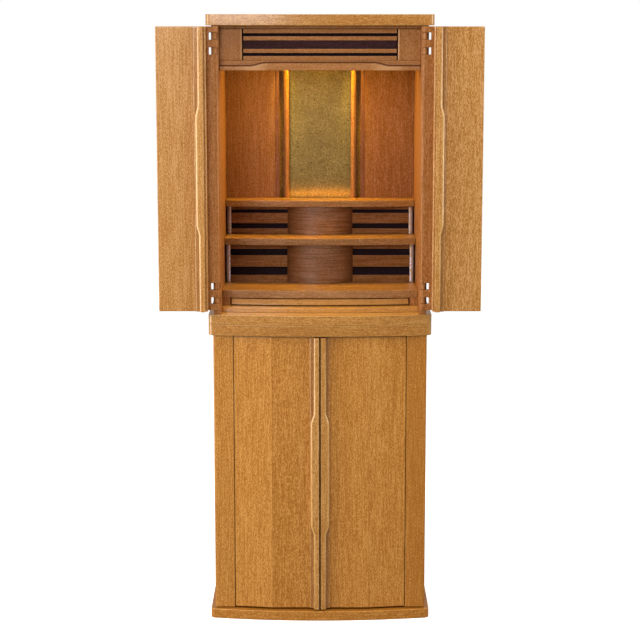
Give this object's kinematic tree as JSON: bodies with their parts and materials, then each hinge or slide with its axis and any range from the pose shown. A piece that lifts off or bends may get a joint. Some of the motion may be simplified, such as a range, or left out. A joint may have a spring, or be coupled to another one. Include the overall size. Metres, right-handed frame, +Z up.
{
  "type": "household altar cabinet",
  "caption": "Modern household altar cabinet: a wooden altar with bi-fold doors, slatted shelf risers and a gold-leaf back, on a stand with hinged doors.",
  "frame": {"origin": "middle of the base board's flat underside, on the floor", "axes": "+Z up, the front with the doors faces -Y, +X to the right as seen from the front"},
  "size_m": [0.714, 0.3908, 1.3693],
  "materials": {
    "light_wood": "satin lacquer, fine straight grain",
    "walnut": "satin veneer",
    "dark_wood": "matt dark stain",
    "brown_wood": "matt stain",
    "gold_leaf": "antique gold leaf"
  },
  "bodies": {
    "cabinet": {"base_board": "light_wood", "stand_top_board": "light_wood", "stand_stile_left": "light_wood", "stand_stile_right": "light_wood", "stand_side_left": "light_wood", "stand_side_right": "light_wood", "stand_back": "light_wood", "altar_bottom_board": "light_wood", "altar_top_board": "light_wood", "altar_back": "light_wood", "altar_side_left": "light_wood", "altar_side_right": "light_wood", "lintel_top_strip": "light_wood", "lintel_slat_1": "light_wood", "lintel_slat_2": "light_wood", "lintel_dark_slat": "dark_wood", "lintel_slat_3": "light_wood", "lintel_slat_4": "light_wood", "lintel_plate_left": "light_wood", "lintel_plate_right": "light_wood", "lintel_backing": "dark_wood", "lintel_rail": "light_wood", "altar_floor": "light_wood", "sill_board": "light_wood", "guide_block_left": "light_wood", "guide_block_right": "light_wood", "lower_riser_backing": "dark_wood", "lower_riser_slat_top": "light_wood", "lower_riser_slat_middle": "light_wood", "lower_riser_slat_bottom": "light_wood", "lower_riser_stile_left": "light_wood", "lower_riser_stile_right": "light_wood", "lower_drum": "walnut", "lower_shelf": "light_wood", "upper_riser_backing": "dark_wood", "upper_riser_slat_top": "light_wood", "upper_riser_slat_middle": "light_wood", "upper_riser_slat_bottom": "light_wood", "upper_riser_stile_left": "light_wood", "upper_riser_stile_right": "light_wood", "upper_drum": "walnut", "upper_shelf": "light_wood", "wall_panel_left": "light_wood", "wall_panel_right": "light_wood", "wall_stile_left": "brown_wood", "wall_stile_right": "brown_wood", "wall_strip_left": "light_wood", "wall_strip_right": "light_wood", "gold_panel": "gold_leaf"},
    "left_inner_leaf": {"inner_leaf_left": "light_wood"},
    "left_outer_leaf": {"outer_leaf_left": "light_wood", "altar_handle_left": "light_wood"},
    "right_inner_leaf": {"inner_leaf_right": "light_wood"},
    "right_outer_leaf": {"outer_leaf_right": "light_wood", "altar_handle_right": "light_wood"},
    "left_stand_door": {"stand_door_left": "light_wood", "stand_handle_left": "light_wood"},
    "right_stand_door": {"stand_door_right": "light_wood", "stand_handle_right": "light_wood"},
    "slide": {"pull_out_board": "light_wood"}
  },
  "joints": [
    {"name": "altar_door_left", "type": "hinge", "parent": "cabinet", "child": "left_inner_leaf", "pos_m": [-0.2295, -0.1665, 1.03105], "axis": [0, 0, 1], "range_deg": [0, 180]},
    {"name": "altar_fold_left", "type": "hinge", "parent": "left_inner_leaf", "child": "left_outer_leaf", "pos_m": [-0.353, -0.175, 1.03105], "axis": [0, 0, -1], "range_deg": [0, 180]},
    {"name": "altar_door_right", "type": "hinge", "parent": "cabinet", "child": "right_inner_leaf", "pos_m": [0.2295, -0.1665, 1.03105], "axis": [0, 0, -1], "range_deg": [0, 180]},
    {"name": "altar_fold_right", "type": "hinge", "parent": "right_inner_leaf", "child": "right_outer_leaf", "pos_m": [0.353, -0.175, 1.03105], "axis": [0, 0, 1], "range_deg": [0, 180]},
    {"name": "stand_door_left", "type": "hinge", "parent": "cabinet", "child": "left_stand_door", "pos_m": [-0.19425, -0.157, 0.342], "axis": [0, 0, -1], "range_deg": [0, 105]},
    {"name": "stand_door_right", "type": "hinge", "parent": "cabinet", "child": "right_stand_door", "pos_m": [0.19425, -0.157, 0.342], "axis": [0, 0, 1], "range_deg": [0, 105]},
    {"name": "board_slide", "type": "slide", "parent": "cabinet", "child": "slide", "axis": [0, 1, 0], "range_m": [-0.2, 0]}
  ],
  "couplings": [
    {"joint": "altar_fold_left", "follows": "altar_door_left", "ratio": 1},
    {"joint": "altar_fold_right", "follows": "altar_door_right", "ratio": 1}
  ]
}
